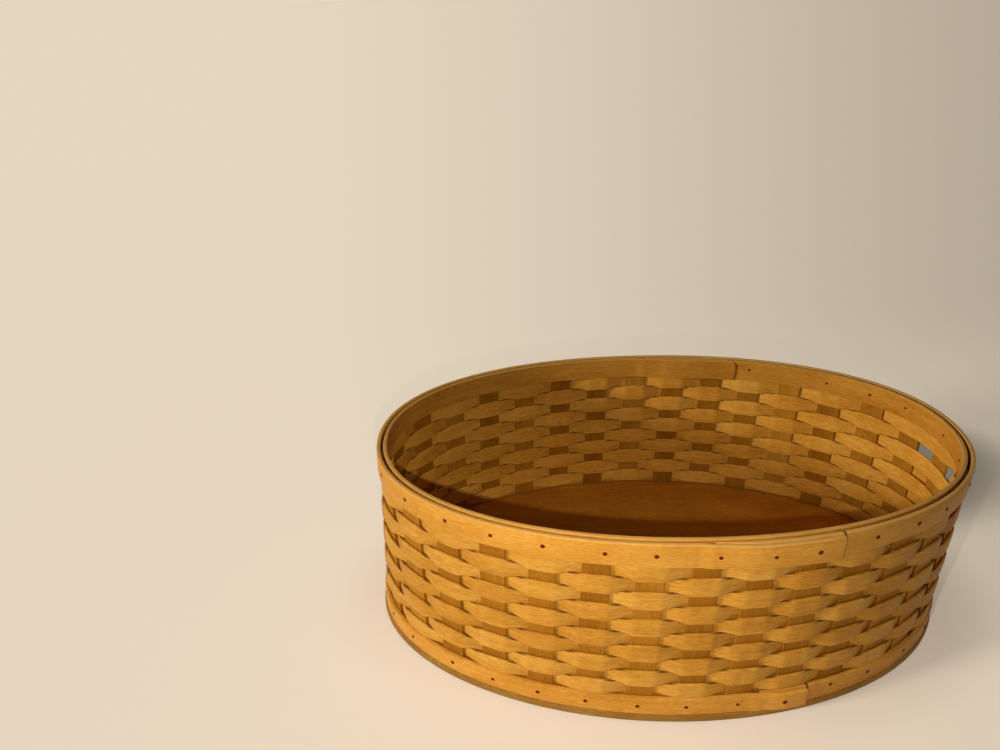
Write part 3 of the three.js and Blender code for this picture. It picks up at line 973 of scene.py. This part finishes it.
NAILS = nail_tree()
for node, size, places in (
        ("rim_outer_band", NAIL_RADIUS, uneven(range(STAKES), RIM_NAILS)),
        ("rim_inner_band", INNER_NAIL_RADIUS, uneven(INNER_STAKES, INNER_NAILS)),
        ("bottom_band", NAIL_RADIUS, uneven(range(STAKES), BOTTOM_NAILS))):
    band = BANDS[node]
    piece = grow(f"{node}_nails", NAILS,
                 {"Facing": band["Face"], "Material": nail_dark, "Head Radius": size},
                 nail_points(places, band))
    tidy(piece, 0.5, angle=60)
    settle(piece, "band_wood")

# Floor, backdrop, light and camera. Levels count what the paper sends back as a share of its colour.

LAMP_COLOUR = (1.0, 0.97, 0.92)
PAPER = srgb(239, 226, 207)
FILL = tuple(a * b for a, b in zip(PAPER, LAMP_COLOUR))
PAPER_LEVEL = 0.79
WORLD_COLOUR = (1.0, 0.97, 0.93)
WORLD_LEVEL = 0.125
KEY_PLACE = Vector((-0.176, -0.587, 0.543))
KEY_AIM = Vector((-0.10, -0.16, -0.10))
KEY_POWER = 10.8
KEY_CONE = math.radians(88)
KEY_SIZE = 0.006
SIDE_PLACE = Vector((-4.525, -1.470, 1.364))
SIDE_POWER = 158
SIDE_AIM = Vector((0, 0, 0.1))
SIDE_SIZE = 0.9
FLOOR_REACH = 60

# Two ellipses on the floor: centre, half sizes, where the fill starts and is full, and its least.
CAST_SHADOW = ((0.25, 0.25), (0.34, 0.17), 0.75, 1.15, 0.26)
FOOT_SHADOW = ((0.01, 0.0), (0.318, 0.182), 0.98, 1.3, 0.66)

# The paper darkens to the right, as seen from a point behind the camera, and more so farther back:
# where it starts and ends, and from how much to how much.
SHADE_SEEN_FROM = (-0.16, -0.95)
SHADE_NEAREST = 0.4
SHADE_TO_RIGHT = (-0.35, 0.85, 0.0, 0.42)
SHADE_TO_BACK = (-0.3, 0.9, 0.25, 1.0)


def seen_directly(tree):
    """1 for what the camera sees, straight, in a reflection or through glass."""
    path = put(tree, "ShaderNodeLightPath").outputs
    either = calc(tree, "MAXIMUM", path["Is Camera Ray"], path["Is Glossy Ray"])
    return calc(tree, "MAXIMUM", either, path["Is Transmission Ray"])


def paper():
    """Pale paper, lit evenly: too bright a part is toned down, and what the lamps leave dim glows."""
    material, tree, shader = new_material("studio_paper")
    shader.inputs["Roughness"].default_value = 0.8
    shader.inputs["Specular IOR Level"].default_value = 0.0
    spot = put(tree, "ShaderNodeTexCoord").outputs["Object"]

    def toward(lamp_at, aim):
        """How far the lamp is from the paper, and the cosine from its axis."""
        reach = steer(tree, "SUBTRACT", spot, lamp_at)
        far = steer(tree, "LENGTH", reach, result="Value")
        along = steer(tree, "DOT_PRODUCT", reach, (aim - lamp_at).normalized(), result="Value")
        return far, calc(tree, "DIVIDE", along, far)

    def ring(centre, half, low, high, bottom):
        """Fills the paper less inside an ellipse, where the basket's shadow is to stay."""
        from_centre = steer(tree, "DIVIDE", steer(tree, "SUBTRACT", spot, (*centre, 0)), (*half, 1))
        return eased(tree, steer(tree, "LENGTH", from_centre, result="Value"), low, high, bottom, 1.0)

    far, cosine = toward(KEY_PLACE, KEY_AIM)
    cone = eased(tree, cosine, math.cos(KEY_CONE / 2), 1.0, 0.0, 1.0)
    key_level = KEY_POWER / (4 * math.pi ** 2) * KEY_PLACE.z
    key_lit = calc(tree, "DIVIDE", key_level, calc(tree, "POWER", far, 3.0))
    key_lit = calc(tree, "MULTIPLY", key_lit, cone)
    far, cosine = toward(SIDE_PLACE, SIDE_AIM)
    beam = calc(tree, "MAXIMUM", cosine, 0.0)
    side_level = SIDE_POWER / math.pi ** 2 * SIDE_PLACE.z
    side_lit = calc(tree, "DIVIDE", side_level, calc(tree, "POWER", far, 3.0))
    # Behind the side lamp nothing is lit, and a little is left there to divide by.
    lit = calc(tree, "MAXIMUM", calc(tree, "MULTIPLY_ADD", side_lit, beam, key_lit), 0.001)
    split = put(tree, "ShaderNodeSeparateXYZ", {}, {"Vector": spot}).outputs
    depth = calc(tree, "SUBTRACT", split["Y"], SHADE_SEEN_FROM[1])
    depth = calc(tree, "MAXIMUM", depth, SHADE_NEAREST)
    across = calc(tree, "DIVIDE", calc(tree, "SUBTRACT", split["X"], SHADE_SEEN_FROM[0]), depth)
    fade = calc(tree, "MULTIPLY", eased(tree, across, *SHADE_TO_RIGHT),
                eased(tree, split["Y"], *SHADE_TO_BACK))
    wanted = calc(tree, "SUBTRACT", PAPER_LEVEL, fade)
    even = calc(tree, "MINIMUM", calc(tree, "DIVIDE", wanted, lit), 1.0)
    feed(tree, shader.inputs["Base Color"], scaled_by(tree, PAPER, even))
    missing = calc(tree, "MAXIMUM", calc(tree, "SUBTRACT", wanted, lit), 0.0)
    clear = calc(tree, "MULTIPLY", ring(*CAST_SHADOW), ring(*FOOT_SHADOW))
    strength = calc(tree, "MULTIPLY", calc(tree, "MULTIPLY", missing, clear), seen_directly(tree))
    glow = put(tree, "ShaderNodeEmission", {}, {"Color": (*FILL, 1), "Strength": strength})
    both = put(tree, "ShaderNodeAddShader")
    tree.links.new(shader.outputs[0], both.inputs[0])
    tree.links.new(glow.outputs[0], both.inputs[1])
    tree.links.new(both.outputs[0], tree.nodes["Material Output"].inputs["Surface"])
    return material


def studio_floor():
    """A wide sheet of paper under the basket."""
    mesh = bpy.data.meshes.new("studio_floor")
    far = FLOOR_REACH
    corners = [(-far, -far, 0), (far, -far, 0), (far, far, 0), (-far, far, 0)]
    mesh.from_pydata(corners, [], [(0, 1, 2, 3)])
    mesh.materials.append(paper())
    add("studio_floor", mesh)


studio_floor()


def lamp(name, kind, place_at, aim, power, colour):
    """A lamp that lights the scene and isn't seen itself."""
    light = bpy.data.lights.new(name, kind)
    light.energy = power
    light.color = colour
    thing = add(name, light)
    thing.location = place_at
    thing.rotation_euler = (aim - place_at).to_track_quat("-Z", "Y").to_euler()
    thing.visible_camera = False
    return light


key = lamp("key_light", "SPOT", KEY_PLACE, KEY_AIM, KEY_POWER, LAMP_COLOUR)
key.spot_size = KEY_CONE
key.spot_blend = 1.0
key.shadow_soft_size = KEY_SIZE
from_side = lamp("side_light", "AREA", SIDE_PLACE, SIDE_AIM, SIDE_POWER, LAMP_COLOUR)
from_side.shape = "DISK"
from_side.size = SIDE_SIZE

world = bpy.data.worlds.new("studio")
bpy.context.scene.world = world
world.use_nodes = True
air = world.node_tree
soft = air.nodes["Background"]
soft.inputs["Color"].default_value = (*WORLD_COLOUR, 1)
soft.inputs["Strength"].default_value = WORLD_LEVEL
behind = put(air, "ShaderNodeBackground", {},
             {"Color": (*FILL, 1), "Strength": PAPER_LEVEL + WORLD_LEVEL})
either = put(air, "ShaderNodeMixShader", {}, {"Fac": seen_directly(air)})
air.links.new(soft.outputs[0], either.inputs[1])
air.links.new(behind.outputs[0], either.inputs[2])
air.links.new(either.outputs[0], air.nodes["World Output"].inputs["Surface"])

# The camera as fitted to the photograph, where the rim's length was 600 units.
UNIT = RIM_LENGTH / 600
FOCAL_PIXELS = 722.531807
PICTURE_PIXELS = 1000
SENSOR_WIDTH = 36
eye = Vector((-158.587156, -634.294808, 630.064667)) * UNIT
yaw, pitch, roll = -0.019033613, 0.493585988, -0.028958604
ahead = Vector((math.sin(yaw) * math.cos(pitch), math.cos(yaw) * math.cos(pitch), -math.sin(pitch)))
right = Vector((math.cos(yaw), -math.sin(yaw), 0))
up = right.cross(ahead)
side = right * math.cos(roll) + up * math.sin(roll)
top = up * math.cos(roll) - right * math.sin(roll)
camera_data = bpy.data.cameras.new("camera")
camera_data.sensor_width = SENSOR_WIDTH
camera_data.lens = FOCAL_PIXELS * SENSOR_WIDTH / PICTURE_PIXELS
camera_data.dof.use_dof = False
camera = add("camera", camera_data)
turn = Matrix((side, top, -ahead)).transposed().to_4x4()
camera.matrix_world = Matrix.Translation(eye) @ turn
bpy.context.scene.camera = camera
bpy.context.scene.view_settings.view_transform = "Standard"
